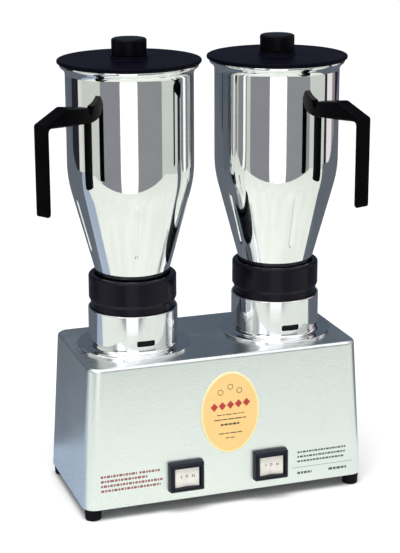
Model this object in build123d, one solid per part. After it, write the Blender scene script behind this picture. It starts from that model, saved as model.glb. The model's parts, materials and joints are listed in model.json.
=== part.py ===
"""Twin bar blender: two steel jugs with lids and handles, on one tapered steel motor base.

Millimetres, +Z up, -Y is the front. The origin is the bottom centre of the base, on the worktop.
"""
from build123d import *
from math import atan, cos, degrees, hypot, radians, sin, tan
import os

# ---- Base casing: a pressed steel box that narrows towards its top -----------------------------
foot_height = 12.4
casing_height = 146.5
casing_bottom_width, casing_bottom_depth = 301.0, 144.6
casing_top_width, casing_top_depth = 284.2, 138.4
casing_corner_radius = 13.0
casing_edge_radius = 3.6
casing_wall = 1.2
base_plate_thickness = 2.0
base_plate_gap = 0.4
foot_radius = 8.5
foot_inset = 10.4
foot_screw_radius = 2.0
foot_screw_head_radius = 4.0
bracket_size, bracket_height = 20.0, 14.0

# ---- Clearances --------------------------------------------------------------------------------
running = 0.03
loose = 0.4
seat = 0.1

# Everything from here on up, and the motors, are measured from the deck: the casing's top face.

# ---- Sockets: polished cups that the jugs stand in ---------------------------------------------
jug_spacing = 154.4
socket_height = 41.5
socket_wall = 2.2
socket_fit = 0.5
socket_flange = 12.7
socket_flange_thickness = 2.5
socket_cove = 4.0
socket_hole_margin = 5.0
drain_width, drain_height, drain_lift = 18.5, 5.9, 10.4
rib_width, rib_depth, rib_height = 6.0, 2.5, 25.0
pad_thickness = 2.0
socket_screw_radius, socket_screw_head_radius = 2.0, 4.0
socket_screw_ring = 33.0

# ---- Switches and badge on the front -----------------------------------------------------------
switch_spread = 91.0
switch_lift = 24.9
frame_width, frame_height, frame_projection = 37.0, 31.4, 8.0
frame_bevel, frame_draft = 2.2, 1.2
body_width, body_height, body_depth = 30.0, 23.0, 24.0
window_width, window_height = 28.0, 21.0
cavity_depth = 15.0
tab_length = 7.0
rocker_width, rocker_height = 25.8, 20.4
rocker_pivot_depth, rocker_rise, rocker_heel = 3.0, 6.4, 5.0
rocker_pin_radius, rocker_pin_reach = 1.2, 0.7
badge_width, badge_height, badge_thickness = 63.0, 86.0, 1.2
badge_offset, badge_lift = 2.5, 86.3

# ---- Motors, hung under the deck ---------------------------------------------------------------
motor_size, motor_corner = 74.0, 12.0
motor_bolt_spread, motor_bolt_radius = 57.0, 2.0
shaft_radius = 4.0
bearing_radius, bearing_height = 11.0, 7.0
bracket_plate = 5.0
boss_radius, boss_height = 15.0, 12.0
stator_drop, stator_height = 45.7, 34.0
stator_bore = 21.5
air_gap = 0.7
coil_height, coil_inner, coil_outer, coil_span = 11.0, 23.5, 33.0, 130.0
coil_bar_width = 6.0
winding_height = 9.0
commutator_radius, commutator_height, commutator_drop = 11.0, 11.0, 16.0
brush_size, brush_reach = 8.0, 26.0
fan_radius, fan_height, fan_drop, fan_vane_count = 30.0, 10.0, 4.0, 9
shaft_tail = 6.0
dog_radius, dog_hub_radius, dog_tooth, dog_count = 12.0, 8.6, 3.0, 6
dog_height, dog_skirt, dog_skirt_margin, dog_lift = 16.8, 1.8, 2.5, 1.8

# ---- Jugs --------------------------------------------------------------------------------------
vessel_radius, vessel_wall = 62.9, 1.0
neck_radius, neck_length = 36.0, 10.5
cone_height, barrel_height = 99.7, 106.6
cove_height, lip_height, lip_flare = 4.0, 3.2, 5.2
neck_blend, shoulder_blend, cove_blend, lip_blend = 6.0, 115.0, 7.0, 3.0
flute_radius, flute_depth, flute_count = 3.2, 1.5, 5
flute_start, flute_length = 29.4, 51.0
bead_radius, bead_steps = 0.9, (0.1, 2.8)

collar_wall, collar_band = 8.4, 24.3
collar_waist, collar_waist_step, collar_chamfer = 51.6, 1.8, 3.5
collar_mouth_step, collar_mouth_depth = 2.4, 7.6
collar_web_top, collar_web, collar_web_margin = 55.1, 6.0, 4.0
collar_skirt_wall = 4.0
thread_clearance = 0.2

carrier_hub_radius, carrier_hub_lift, carrier_hub_rise = 13.0, 6.0, 9.0
carrier_flange = 3.0
gasket_thickness, gasket_width = 2.0, 5.9
spindle_radius, spindle_depth = 5.0, 5.5
blade_lift, blade_thickness, blade_width, blade_margin = 2.5, 2.0, 13.0, 8.0
cup_wall, cup_headroom, cup_web, cup_lift = 3.2, 3.0, 7.0, 1.6

lid_overhang, lid_rim, lid_skirt, lid_skirt_wall = 2.6, 3.7, 15.0, 2.5
filler_radius = 13.5
boss_wall, boss_ring_height = 4.9, 3.3
cap_overhang, cap_height, cap_plug = 3.8, 16.5, 12.0

handle_reach, grip_thickness, grip_width = 68.4, 6.4, 14.6
handle_drop, bridge_flat, bridge_root_width = 30.0, 36.0, 8.4
bridge_height, bridge_root_drop, bridge_root_height = 16.0, 4.5, 15.9
grip_shoulder_drop, grip_length = 12.2, 99.3
leg_width, leg_thickness, leg_overhang = 5.0, 3.0, 1.8
handle_screw_radius, handle_screw_length = 1.25, 2.2
handle_screw_drops = (15.6, 63.6)

# ---- What differs between the two jugs: name, side, rise in the collar, handle and flute azimuths
jugs = (
    ("left", -1, 3.5, -56.0, -11.0),
    ("right", 1, 0.0, 18.5, -1.0),
)

# ---- Cord entry in the rear wall ---------------------------------------------------------------
gland_flange_radius, gland_flange = 10.0, 4.0
gland_thread_radius, gland_length = 7.0, 14.0
gland_bore = 3.9
gland_nut_radius, gland_nut_height = 10.5, 4.0
gland_lift = 22.0

# ---- Derived: casing, from the worktop ---------------------------------------------------------
casing_bottom = foot_height
casing_top = casing_bottom + casing_height
inner_top = casing_top - casing_wall
plate_top = casing_bottom + base_plate_thickness
lean = atan((casing_bottom_depth - casing_top_depth) / 2 / casing_height)

# ---- Derived: radii, each from what it fits ----------------------------------------------------
collar_radius = neck_radius + collar_wall
collar_neck_radius = collar_radius - collar_waist_step
collar_mouth_radius = neck_radius + collar_mouth_step
collar_web_hole = carrier_hub_radius + collar_web_margin
socket_radius = collar_neck_radius + socket_fit + socket_wall
socket_flange_radius = socket_radius + socket_flange
socket_hole_radius = dog_radius + socket_hole_margin
cup_radius = dog_radius + loose + cup_wall
blade_reach = neck_radius - vessel_wall - blade_margin
lip_radius = vessel_radius + lip_flare
lid_radius = lip_radius + lid_overhang
boss_ring_radius = filler_radius + boss_wall
cap_radius = filler_radius + cap_overhang

# ---- Derived: levels, from the deck ------------------------------------------------------------
socket_floor = socket_flange_thickness
pad_top = socket_floor + pad_thickness
skirt_bottom = pad_top + seat
collar_top = collar_waist + collar_band
dog_bottom = socket_floor + dog_lift
shaft_top = dog_bottom + dog_height
cup_bottom = dog_bottom + dog_skirt + cup_lift
cup_top = shaft_top + cup_headroom + cup_web
carrier_top = collar_web_top + carrier_flange
carrier_hub_low = cup_top + carrier_hub_lift
carrier_hub_high = carrier_top + carrier_hub_rise
spindle_bottom = cup_top - spindle_depth
blade_plane = carrier_hub_high + blade_lift
neck_bottom = carrier_top + gasket_thickness + seat
cone_start = neck_bottom + neck_length
shoulder_height = cone_start + cone_height
cove_bottom = shoulder_height + barrel_height
lip_bottom = cove_bottom + cove_height
lip_top = lip_bottom + lip_height
flute_low = cone_start + flute_start
lid_bottom = lip_top + seat
lid_top = lid_bottom + lid_rim
boss_top = lid_top + boss_ring_height
handle_top = lip_top - handle_drop
handle_underside = handle_top - bridge_height
bridge_root_low = handle_top - bridge_root_drop - bridge_root_height
grip_shoulder = handle_top - grip_shoulder_drop
grip_end = handle_top - grip_length
leg_end = shoulder_height - leg_overhang
deck_underside = -casing_wall
upper_bearing = deck_underside - boss_height + 1
stator_top = deck_underside - stator_drop
stator_bottom = stator_top - stator_height
commutator_top = stator_bottom - commutator_drop
commutator_bottom = commutator_top - commutator_height
lower_bracket_bottom = commutator_bottom - boss_height - 1
lower_bearing = lower_bracket_bottom + boss_height - bearing_height
fan_bottom = lower_bracket_bottom - fan_height - fan_drop
shaft_bottom = fan_bottom - shaft_tail


# ---- Helpers -----------------------------------------------------------------------------------
def turned(outline):
    """Solid of revolution about Z from an outline drawn in (radius, height)."""
    return revolve(Plane.XZ * outline, Axis.Z)


def outline(*points):
    """Closed flat outline through the given corners."""
    return make_face(Polyline(*points, close=True))


def tube(inner, outer, low, high):
    """A plain cylinder from low to high, with a bore unless inner is 0."""
    solid = Pos(0, 0, (low + high) / 2) * Cylinder(outer, high - low)
    if inner:
        solid -= Pos(0, 0, (low + high) / 2) * Cylinder(inner, high - low + 2)
    return solid


def block(x_size, y_size, low, high):
    return Pos(0, 0, (low + high) / 2) * Box(x_size, y_size, high - low)


def polar(shape, radius, count, start=0.0):
    """Copies of a shape around Z, each turned to face its own direction."""
    return [place * shape for place in PolarLocations(radius, count, start)]


def rounded(face, radius, *corners):
    """Rounds the outline's corners nearest to the given points."""
    found = [face.vertices().sort_by_distance((x, y, 0))[0] for x, y in corners]
    return fillet(found, radius)


def depth_at(height):
    """Half depth of the casing at a height above the worktop."""
    return casing_bottom_depth / 2 - (height - casing_bottom) * tan(lean)


def wall_plane(side, x, height):
    """Plane on the outside of the front (-1) or rear (+1) wall, with its normal pointing out."""
    return Plane(
        origin=(x, side * depth_at(height), height),
        x_dir=(-side, 0, 0),
        z_dir=(0, side * cos(lean), sin(lean)),
    )


def offset_corners(points, distance):
    """The corners of a line moved to its left by a distance, mitred where it turns."""
    moved = []
    for (x0, y0), (x1, y1) in zip(points, points[1:]):
        length = hypot(x1 - x0, y1 - y0)
        nx, ny = -(y1 - y0) / length * distance, (x1 - x0) / length * distance
        moved.append(((x0 + nx, y0 + ny), (x1 + nx, y1 + ny)))
    corners = [moved[0][0]]
    for ((ax, ay), (bx, by)), ((cx, cy), (dx, dy)) in zip(moved, moved[1:]):
        cross = (bx - ax) * (dy - cy) - (by - ay) * (dx - cx)
        share = ((cx - ax) * (dy - cy) - (cy - ay) * (dx - cx)) / cross
        corners.append((ax + share * (bx - ax), ay + share * (by - ay)))
    corners.append(moved[-1][1])
    return corners


# ---- Base --------------------------------------------------------------------------------------
def tapered_box(inset, top, corner):
    """The casing's tapered volume, moved inwards by inset and closed at a given top height."""
    share = (top - casing_bottom) / casing_height
    width = casing_bottom_width + share * (casing_top_width - casing_bottom_width)
    depth = casing_bottom_depth + share * (casing_top_depth - casing_bottom_depth)
    low = RectangleRounded(casing_bottom_width - 2 * inset, casing_bottom_depth - 2 * inset, corner)
    high = RectangleRounded(width - 2 * inset, depth - 2 * inset, corner)
    return loft([Pos(0, 0, casing_bottom) * low, Pos(0, 0, top) * high])


def rounded_top(solid, radius):
    return fillet(solid.faces().sort_by(Axis.Z)[-1].edges(), radius)


def casing():
    shell = rounded_top(tapered_box(0, casing_top, casing_corner_radius), casing_edge_radius)
    inner_corner = casing_corner_radius - casing_wall
    hollow = tapered_box(casing_wall, inner_top, inner_corner)
    shell -= rounded_top(hollow, casing_edge_radius - casing_wall)
    for side in (-1, 1):
        hub = Pos(side * jug_spacing / 2, 0, 0)
        shell -= hub * tube(0, socket_hole_radius, inner_top - 1, casing_top + 1)
        hole = tube(0, socket_screw_radius + loose, inner_top - 1, casing_top + 1)
        for cut in polar(hole, socket_screw_ring, 4):
            shell -= hub * cut
        cut_out = Box(body_width + loose, body_height + loose, 4 * casing_wall)
        shell -= wall_plane(-1, side * switch_spread / 2, casing_bottom + switch_lift) * cut_out
    shell -= gland_plane() * Cylinder(gland_thread_radius + seat, 4 * casing_wall)
    return shell


def corner_places(x_inset, y_inset):
    x, y = casing_bottom_width / 2 - x_inset, casing_bottom_depth / 2 - y_inset
    return [Pos(x * sx, y * sy, 0) for sx in (-1, 1) for sy in (-1, 1)]


foot_places = corner_places(foot_inset, foot_inset)


def base_plate():
    inset = casing_wall + base_plate_gap
    corner = casing_corner_radius - inset
    plate = tapered_box(inset, plate_top, corner)
    for place in foot_places:
        plate -= place * tube(0, foot_screw_radius + seat, casing_bottom - 1, plate_top + 1)
    slot = Pos(0, 0, (casing_bottom + plate_top) / 2) * Box(16, 4, 2 * base_plate_thickness)
    for side in (-1, 1):
        for vent in polar(slot, 19, 8):
            plate -= Pos(side * jug_spacing / 2, 0, 0) * vent
    return plate


def corner_brackets():
    """Threaded blocks in the casing's bottom corners, which the feet's screws hold the plate to."""
    inside = tapered_box(casing_wall, inner_top, casing_corner_radius - casing_wall)
    blocks = []
    for place in foot_places:
        piece = place * block(bracket_size, bracket_size, plate_top, plate_top + bracket_height)
        hole = place * tube(0, foot_screw_radius + seat, plate_top - 1, plate_top + bracket_height + 1)
        blocks.append((piece & inside) - hole)
    return blocks


def feet():
    recess = 6.0
    side = outline(
        (foot_screw_radius + seat, recess),
        (foot_screw_head_radius + seat, recess),
        (foot_screw_head_radius + seat, 0),
        (foot_radius - 0.6, 0),
        (foot_radius, foot_height),
        (foot_screw_radius + seat, foot_height),
    )
    foot = turned(rounded(side, 1.2, (foot_radius - 0.6, 0)))
    return [place * foot for place in foot_places]


def foot_screws():
    head_low, head_high = 3.4, 6.0
    screw = tube(0, foot_screw_head_radius, head_low, head_high)
    screw += tube(0, foot_screw_radius, head_high, plate_top + bracket_height - 2)
    return [place * screw for place in foot_places]


def gland_plane():
    return wall_plane(1, 0, casing_bottom + gland_lift)


def cord_gland():
    flange = Pos(0, 0, gland_flange / 2) * Cylinder(gland_flange_radius, gland_flange)
    flange = fillet(flange.edges().sort_by(Axis.Z)[-1:], 1.5)
    thread = Pos(0, 0, -gland_length / 2) * Cylinder(gland_thread_radius, gland_length)
    bore = Cylinder(gland_bore, 3 * (gland_length + gland_flange))
    return gland_plane() * (flange + thread - bore)


def gland_nut():
    nut = extrude(RegularPolygon(gland_nut_radius, 6), gland_nut_height)
    nut -= Cylinder(gland_thread_radius + seat, 4 * gland_nut_height)
    return gland_plane() * Pos(0, 0, -casing_wall - gland_nut_height - seat) * nut


def terminal_block():
    length, width, height, ways = 48.0, 16.0, 15.0, 4
    piece = block(length, width, plate_top, plate_top + height)
    pitch = length / ways
    for way in range(ways):
        x = (way - (ways - 1) / 2) * pitch
        piece -= Pos(x, 0, plate_top + height * 0.45) * Rot(90, 0, 0) * Cylinder(2.2, 2 * width)
        piece -= Pos(x, 0, plate_top + height) * Cylinder(2.0, height * 0.7)
    return Pos(0, casing_bottom_depth / 4, 0) * piece


# ---- Sockets -----------------------------------------------------------------------------------
def socket():
    inner = socket_radius - socket_wall
    top = socket_height
    side = outline(
        (socket_hole_radius, 0),
        (socket_flange_radius, 0),
        (socket_flange_radius, socket_floor),
        (socket_radius, socket_floor),
        (socket_radius, top),
        (inner, top),
        (inner, socket_floor),
        (socket_hole_radius, socket_floor),
    )
    side = rounded(side, 1.2, (socket_flange_radius, socket_floor))
    side = rounded(side, socket_cove, (socket_radius, socket_floor))
    side = rounded(side, socket_wall * 0.45, (socket_radius, top), (inner, top))
    cup = turned(side)
    slot = Box(drain_width, 4 * socket_wall, drain_height)
    slot = fillet(slot.edges().filter_by(Axis.Y), 1.6)
    cup -= Pos(0, -socket_radius, drain_lift + drain_height / 2) * slot
    rib = Pos(inner - rib_depth / 2 + 0.5, 0, pad_top + rib_height / 2 + 1)
    for place in polar(Rot(0, 0, 0), 0, 4, 45):
        cup += place * rib * Box(rib_depth + 1, rib_width, rib_height)
    hole = tube(0, socket_screw_radius + seat, -1, socket_floor + 1)
    for cut in polar(hole, socket_screw_ring, 4):
        cup -= cut
    return cup


def socket_pad():
    outer = socket_radius - socket_wall - seat
    return tube(collar_neck_radius - collar_skirt_wall - 1, outer, socket_floor, pad_top)


def socket_screw_set():
    head = tube(0, socket_screw_head_radius, socket_floor, socket_floor + 2.6)
    head = fillet(head.edges().sort_by(Axis.Z)[-1:], 1.2)
    screw = head + tube(0, socket_screw_radius, deck_underside - bracket_plate + 1, socket_floor)
    return polar(screw, socket_screw_ring, 4)


# ---- Switches, drawn with the panel as the plane and its normal pointing out -------------------
def switch_frame():
    """Bezel on the panel, bevelled at its front, with the rocker's window through it."""
    shoulder = frame_projection - frame_bevel
    foot = RectangleRounded(frame_width, frame_height, 1.5)
    middle = RectangleRounded(frame_width - frame_draft, frame_height - frame_draft, 1.5)
    front = RectangleRounded(frame_width - 2 * frame_bevel, frame_height - 2 * frame_bevel, 1.5)
    frame = loft([foot, Pos(0, 0, shoulder) * middle])
    frame += loft([Pos(0, 0, shoulder) * middle, Pos(0, 0, frame_projection) * front])
    return frame - Box(window_width, window_height, 4 * frame_projection)


def switch_body():
    """Box behind the panel, open at the front, with a hole for each of the rocker's pins."""
    shell = Pos(0, 0, -body_depth / 2) * Box(body_width, body_height, body_depth)
    shell -= Box(window_width, window_height, 2 * cavity_depth)
    pin_hole = Rot(90, 0, 0) * Cylinder(rocker_pin_radius + 0.05, body_height + 2)
    shell -= Pos(0, 0, -rocker_pivot_depth) * pin_hole
    for x in (-9.0, 0.0, 9.0):
        shell += Pos(x, 0, -body_depth - tab_length / 2) * Box(0.8, 6.3, tab_length)
    return shell


def rocker():
    """Rocker with a shallow V face, on two pins that lie up and down the panel."""
    half = rocker_width / 2
    side = outline(
        (-half, rocker_rise + 2.0),
        (0, rocker_rise),
        (half, rocker_rise + 2.0),
        (half, rocker_rise - 3.0),
        (rocker_heel, -rocker_heel),
        (-rocker_heel, -rocker_heel),
        (-half, rocker_rise - 3.0),
    )
    side = rounded(side, 0.8, (-half, rocker_rise + 2.0), (half, rocker_rise + 2.0))
    body = extrude(Plane.XZ * side, rocker_height / 2, both=True)
    pin_length = window_height + 2 * rocker_pin_reach
    body += Rot(90, 0, 0) * Cylinder(rocker_pin_radius, pin_length)
    return Pos(0, 0, -rocker_pivot_depth) * body


def badge():
    plate = extrude(Ellipse(badge_width / 2, badge_height / 2), badge_thickness)
    return fillet(plate.edges().sort_by(Axis.Z)[-1:], 0.5)


# ---- Motor, drawn on the Z axis ----------------------------------------------------------------
def bolt_places():
    half = motor_bolt_spread / 2
    return [Pos(x, y, 0) for x in (-half, half) for y in (-half, half)]


def motor_block(low, high):
    square = RectangleRounded(motor_size, motor_size, motor_corner)
    piece = Pos(0, 0, low) * extrude(square, high - low)
    for place in bolt_places():
        piece -= place * tube(0, motor_bolt_radius + seat, low - 1, high + 1)
    return piece


def top_bracket():
    """Plate under the casing's top, with the upper bearing in a boss below it."""
    low = deck_underside - bracket_plate
    boss_bottom = deck_underside - boss_height
    piece = motor_block(low, deck_underside)
    piece += tube(0, boss_radius, boss_bottom, deck_underside)
    piece -= tube(0, bearing_radius + seat, boss_bottom - 1, upper_bearing + bearing_height)
    piece -= tube(0, shaft_radius + 2, boss_bottom - 1, deck_underside + 1)
    hole = tube(0, socket_screw_radius + seat, low - 1, deck_underside + 1)
    for cut in polar(hole, socket_screw_ring, 4):
        piece -= cut
    return piece


def lower_bracket():
    """Plate with the lower bearing in a boss above it, cut away beside the brushes."""
    high = lower_bracket_bottom + bracket_plate
    piece = motor_block(lower_bracket_bottom, high)
    piece -= tube(boss_radius + 4, motor_size / 2 - 7, lower_bracket_bottom - 1, high + 1)
    for angle in (0, 90):
        piece += Rot(0, 0, angle) * block(motor_size - 6, 9, lower_bracket_bottom, high)
    piece += tube(0, boss_radius, lower_bracket_bottom, lower_bracket_bottom + boss_height)
    piece -= tube(0, bearing_radius + seat, lower_bearing, lower_bracket_bottom + boss_height + 1)
    piece -= tube(0, shaft_radius + 2, lower_bracket_bottom - 1, lower_bearing + 1)
    return piece


def bearings():
    pair = []
    for low in (lower_bearing, upper_bearing):
        pair.append(tube(shaft_radius + running, bearing_radius, low, low + bearing_height))
    return pair


def coil_bars(width):
    """The coils' straight sides, in the stator's four slots."""
    middle = (coil_inner + coil_outer) / 2
    half_span = coil_span / 2
    bar = block(coil_outer - coil_inner - 1, width, stator_bottom - 1, stator_top + 1)
    angles = [centre + turn for centre in (0, 180) for turn in (-half_span, half_span)]
    return [Rot(0, 0, angle) * Pos(middle, 0, 0) * bar for angle in angles]


def stator():
    piece = motor_block(stator_bottom, stator_top)
    piece -= tube(0, stator_bore, stator_bottom - 1, stator_top + 1)
    for slot in coil_bars(coil_bar_width + loose):
        piece -= slot
    return piece


def field_coils():
    """Two windings, each two end turns joined by its straight sides."""
    arc = tube(coil_inner, coil_outer, 0, coil_height)
    bars = coil_bars(coil_bar_width - loose)
    coils = []
    for index, centre in enumerate((0, 180)):
        sector = extrude(make_face(sector_outline(centre, coil_span + 8, 2 * coil_outer)), coil_height)
        turns = arc & sector
        coil = Pos(0, 0, stator_top + loose) * turns
        coil += Pos(0, 0, stator_bottom - coil_height - loose) * turns
        for bar in bars[2 * index:2 * index + 2]:
            coil += bar
        coils.append(coil)
    return coils


def sector_outline(centre, span, reach):
    """Fan-shaped outline about the origin, wide enough to cut an arc of the given span."""
    steps = 4
    angles = [radians(centre - span / 2 + span * step / steps) for step in range(steps + 1)]
    return Polyline((0, 0), *[(reach * cos(a), reach * sin(a)) for a in angles], close=True)


def brush_gear():
    """Two insulated brush boxes, each with a carbon brush that reaches the commutator."""
    middle = (commutator_bottom + commutator_top) / 2
    inner = commutator_radius + 3
    post_low = lower_bracket_bottom + bracket_plate
    pieces = []
    for side in (-1, 1):
        box = block(brush_reach - inner, brush_size + 4, post_low, middle + brush_size / 2 + 2)
        box = Pos((brush_reach + inner) / 2, 0, 0) * box
        brush = Pos((commutator_radius + loose + brush_reach) / 2, 0, middle)
        length = brush_reach - commutator_radius - loose
        box += brush * Box(length, brush_size, brush_size)
        box -= tube(0, boss_radius + seat, post_low - 1, lower_bracket_bottom + boss_height + seat)
        pieces.append(Rot(0, 0, 90 * side) * box)
    return pieces


def motor_bolts():
    bolt = tube(0, motor_bolt_radius, lower_bracket_bottom, deck_underside - 2)
    bolt += Pos(0, 0, lower_bracket_bottom - 3) * extrude(RegularPolygon(4.2, 6), 3)
    return [place * bolt for place in bolt_places()]


def shaft():
    rod = tube(0, shaft_radius, shaft_bottom, shaft_top)
    return chamfer(rod.edges().group_by(Axis.Z)[0] + rod.edges().group_by(Axis.Z)[-1], 0.6)


def armature():
    """Slotted core with its winding heads, and the commutator below."""
    radius = stator_bore - air_gap
    core = tube(0, radius, stator_bottom - 2, stator_top + 2)
    for slot in polar(block(5, 2.4, stator_bottom - 3, stator_top + 3), radius - 2, 12):
        core -= slot
    core += tube(0, radius - 4.5, stator_bottom - winding_height, stator_top + winding_height)
    core += tube(0, commutator_radius, commutator_bottom, commutator_top)
    core += tube(0, shaft_radius + 3, commutator_top, stator_bottom - winding_height)
    return core - tube(0, shaft_radius, shaft_bottom, shaft_top)


def fan():
    low = fan_bottom
    high = low + fan_height
    wheel = tube(0, fan_radius, high - 2, high)
    vane = block(fan_radius - 14, 1.6, low, high - 1)
    for place in PolarLocations((fan_radius + 12) / 2, fan_vane_count):
        wheel += place * vane
    wheel += tube(0, shaft_radius + 4, low, high)
    return wheel - tube(0, shaft_radius, shaft_bottom, shaft_top)


def dog_profile(clearance, low, high):
    """Toothed drive section, grown by a clearance all round."""
    piece = tube(0, dog_hub_radius + clearance, low, high)
    tooth = block(dog_radius + clearance, dog_tooth + 2 * clearance, low, high)
    for place in PolarLocations((dog_radius + clearance) / 2, dog_count):
        piece += place * tooth
    return piece


def drive_dog():
    piece = dog_profile(0, dog_bottom, shaft_top)
    piece += tube(0, dog_radius + dog_skirt_margin, dog_bottom, dog_bottom + dog_skirt)
    return piece - tube(0, shaft_radius, dog_bottom - 1, shaft_top + 1)


# ---- Jug, drawn on the Z axis and fully screwed into its collar --------------------------------
def wall_line(inset):
    """Half section of the vessel's wall, moved inwards by inset, as a line from neck to lip."""
    corners = [
        (neck_radius, neck_bottom),
        (neck_radius, cone_start),
        (vessel_radius, shoulder_height),
        (vessel_radius, cove_bottom),
        (lip_radius, lip_bottom),
        (lip_radius, lip_top),
    ]
    radii = [neck_blend + inset, shoulder_blend - inset, cove_blend + inset, lip_blend - inset]
    return FilletPolyline(*offset_corners(corners, inset), radius=radii)


def filled(inset):
    """Everything inside the vessel's wall line, down to the neck's mouth."""
    line = wall_line(inset)
    low, high = line @ 0, line @ 1
    closing = Polyline((high.X, high.Y), (0, high.Y), (0, low.Y), (low.X, low.Y))
    return turned(make_face([line, closing]))


def flute(extra, azimuth):
    """Round-ended bar laid along the cone, sunk into the wall by the flute's depth."""
    slope = (vessel_radius - neck_radius) / (shoulder_height - cone_start)
    wall = neck_radius + (flute_low - cone_start) * slope
    tilt = degrees(atan(slope))
    length = flute_length / cos(radians(tilt))
    proud = flute_radius - flute_depth
    bar = Pos(0, 0, length / 2) * Cylinder(flute_radius + extra, length)
    bar += Sphere(flute_radius + extra) + Pos(0, 0, length) * Sphere(flute_radius + extra)
    return Rot(0, 0, azimuth - 90) * Pos(wall + proud, 0, flute_low) * Rot(0, tilt, 0) * bar


def screw_holes(radius, low, high):
    """Bars on the handle's centre line at each of its screws, along +X."""
    middle, length = (low + high) / 2, high - low
    heights = [handle_top - drop for drop in handle_screw_drops]
    return [Pos(middle, 0, z) * Rot(0, 90, 0) * Cylinder(radius, length) for z in heights]


def vessel(handle_azimuth, flute_azimuth):
    body, hollow = filled(0), filled(vessel_wall)
    for index in range(flute_count):
        azimuth = flute_azimuth + index * 360 / flute_count
        body -= flute(0, azimuth)
        hollow -= flute(vessel_wall, azimuth)
    for step in bead_steps:
        radius = neck_radius + step * (vessel_radius - neck_radius) / cone_height
        body += Pos(0, 0, cone_start + step) * Torus(radius, bead_radius)
    for hole in screw_holes(handle_screw_radius + seat, vessel_radius - 5, vessel_radius + 5):
        body -= Rot(0, 0, handle_azimuth - 90) * hole
    return body - hollow


def handle():
    """Bridge that rises and widens from the vessel, a hanging grip, and a leg down the wall, along +X."""
    start = vessel_radius - 2
    reach = vessel_radius + handle_reach
    flat = vessel_radius + bridge_flat
    grip = reach - grip_thickness
    root_top = handle_top - bridge_root_drop
    side = outline(
        (start, root_top - 7),
        (vessel_radius, root_top - 7),
        (vessel_radius + 4, root_top),
        (flat, handle_top),
        (reach, grip_shoulder),
        (reach, grip_end),
        (grip, grip_end),
        (grip, handle_underside),
        (start, bridge_root_low),
    )
    side = rounded(side, 4.0, (grip, handle_underside), (vessel_radius + 4, root_top))
    side = rounded(side, 3.0, (flat, handle_top), (reach, grip_shoulder))
    side = rounded(side, grip_thickness * 0.45, (reach, grip_end), (grip, grip_end))
    plan = outline(
        (start, bridge_root_width / 2),
        (flat, grip_width / 2),
        (reach + 1, grip_width / 2),
        (reach + 1, -grip_width / 2),
        (flat, -grip_width / 2),
        (start, -bridge_root_width / 2),
    )
    plan = rounded(plan, 60.0, (flat, grip_width / 2), (flat, -grip_width / 2))
    bar = extrude(Plane.XZ * side, grip_width, both=True)
    bar &= extrude(Pos(0, 0, grip_end - 1) * plan, grip_length + 2)
    bar = chamfer(side_edges(bar), 1.2)
    strip = outline(
        (-leg_width / 2, bridge_root_low + 2),
        (leg_width / 2, bridge_root_low + 2),
        (leg_width / 2, leg_end),
        (-leg_width / 2, leg_end),
    )
    strip = rounded(strip, leg_width * 0.45, (leg_width / 2, leg_end), (-leg_width / 2, leg_end))
    bar += extrude(Plane.YZ * strip, vessel_radius + 10) & filled(-leg_thickness)
    bar -= filled(-seat)
    for hole in screw_holes(handle_screw_radius + seat, 0, vessel_radius + handle_screw_length):
        bar -= hole
    return bar


def side_edges(bar):
    """Edges round the two sides of a bar that is symmetrical about XZ, less the seams within a side."""
    sides = [face for face in bar.faces() if abs(face.normal_at().Y) > 0.9]
    edges = [edge for face in sides for edge in face.edges()]
    return [edge for edge in edges if sum(edge.is_same(other) for other in edges) == 1]


def handle_screws():
    """Screws from inside the vessel, their flat heads on its wall."""
    inner = vessel_radius - vessel_wall
    low = inner - 1.0
    heads = screw_holes(2 * handle_screw_radius, low - 1, inner + 1)
    inside = tube(low - 1, chord_height(inner, 2 * handle_screw_radius), 0, lid_top)
    shanks = screw_holes(handle_screw_radius, low, vessel_radius + handle_screw_length - 0.3)
    return [(head & inside) + shank for head, shank in zip(heads, shanks)]


def chord_height(radius, half_width):
    """Distance from the axis of a flat of the given half width inside a cylinder."""
    return (radius ** 2 - half_width ** 2) ** 0.5


def collar():
    """Foot ring that the vessel screws into: a visible band over a skirt that enters the socket."""
    skirt_inner = collar_neck_radius - collar_skirt_wall
    web_bottom = collar_web_top - collar_web
    side = outline(
        (collar_neck_radius, skirt_bottom),
        (collar_neck_radius, collar_waist - collar_chamfer),
        (collar_radius, collar_waist),
        (collar_radius, collar_top),
        (collar_mouth_radius, collar_top),
        (collar_mouth_radius, collar_top - collar_mouth_depth),
        (neck_radius + thread_clearance, collar_top - collar_mouth_depth),
        (neck_radius + thread_clearance, collar_web_top),
        (collar_web_hole, collar_web_top),
        (collar_web_hole, web_bottom),
        (skirt_inner, web_bottom),
        (skirt_inner, skirt_bottom),
    )
    side = rounded(side, 2.6, (collar_radius, collar_top))
    side = rounded(side, 0.8, (collar_mouth_radius, collar_top))
    side = rounded(side, 1.0, (collar_radius, collar_waist))
    ring = turned(side)
    slot_depth = rib_depth + loose
    outer = socket_radius - socket_wall
    slot = Pos(outer - slot_depth / 2, 0, pad_top + (rib_height + 3) / 2)
    for place in polar(Rot(0, 0, 0), 0, 4, 45):
        ring -= place * slot * Box(slot_depth, rib_width + 2 * loose, rib_height + 3)
    return ring


def blade_carrier():
    flange = tube(0, neck_radius - seat, collar_web_top, carrier_top)
    hub = tube(0, carrier_hub_radius, carrier_hub_low, carrier_hub_high)
    hub = chamfer(hub.edges().group_by(Axis.Z)[0] + hub.edges().group_by(Axis.Z)[-1], 1.5)
    return flange + hub - tube(0, spindle_radius + running, carrier_hub_low - 1, carrier_hub_high + 1)


def blade_gasket():
    outer = neck_radius - seat
    return tube(outer - gasket_width, outer, carrier_top, carrier_top + gasket_thickness)


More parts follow.
